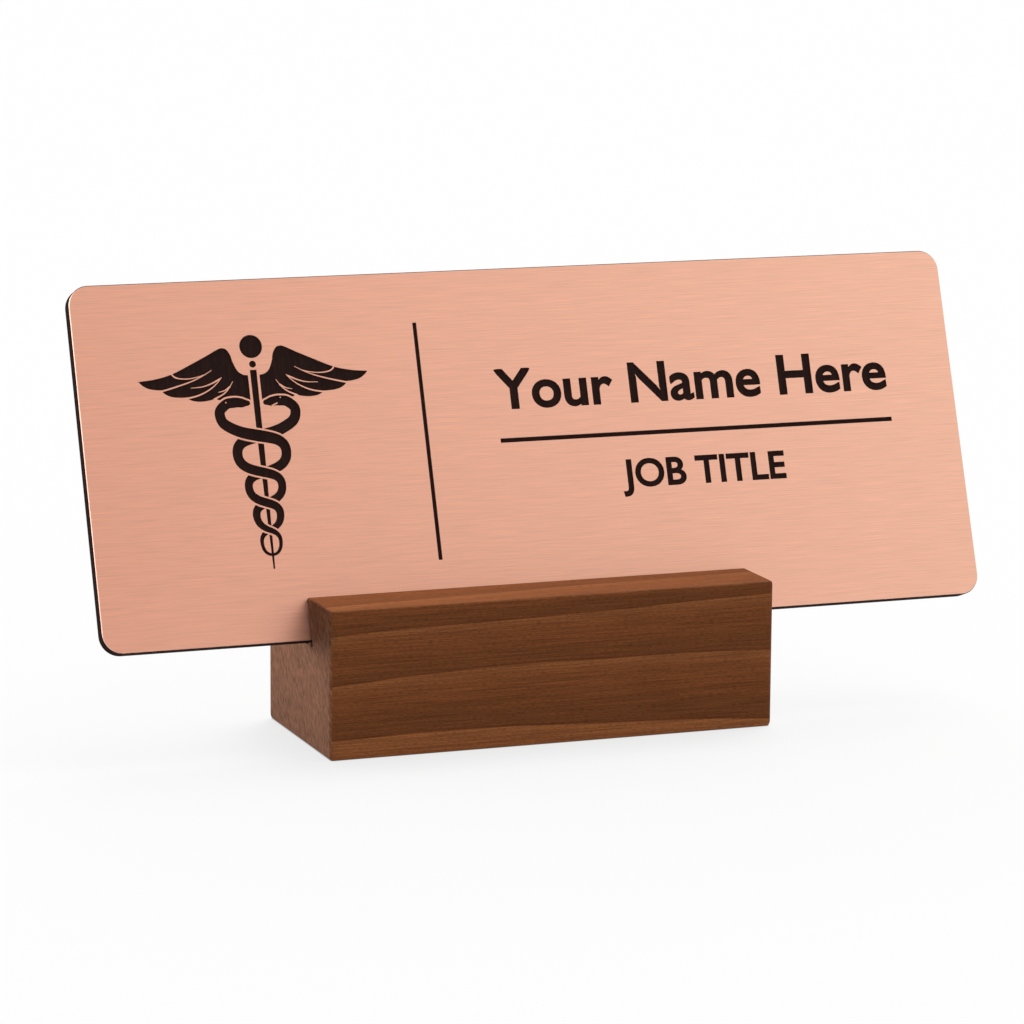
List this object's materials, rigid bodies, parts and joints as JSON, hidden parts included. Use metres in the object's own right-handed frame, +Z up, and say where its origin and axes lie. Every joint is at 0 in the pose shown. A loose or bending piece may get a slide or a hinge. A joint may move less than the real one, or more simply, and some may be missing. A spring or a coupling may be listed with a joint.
{
  "type": "desk name plate",
  "caption": "Desk name plate: a wide engraved copper-coloured sheet with a dark core, leaning back in a slanted slot along the top of a walnut block.",
  "frame": {"origin": "middle of the block's underside, the face it stands on", "axes": "+X along the block and the plate, to the right as seen from the front; +Y to the back, the way the plate leans; +Z up"},
  "size_m": [0.2286, 0.0492, 0.1098],
  "materials": {
    "walnut": "oiled satin, growth bands along the front, end grain on the ends",
    "dark_core": "matt, as milled",
    "brushed_copper": "copper coloured, brushed along its length"
  },
  "bodies": {
    "base": {"base_block": "walnut"},
    "plate": {"plate_core": "dark_core", "face_ply": "brushed_copper"}
  },
  "joints": [
    {"name": "plate_lift", "type": "slide", "parent": "base", "child": "plate", "axis": [0, 0.342, 0.9397], "range_m": [0, 0.015]}
  ]
}
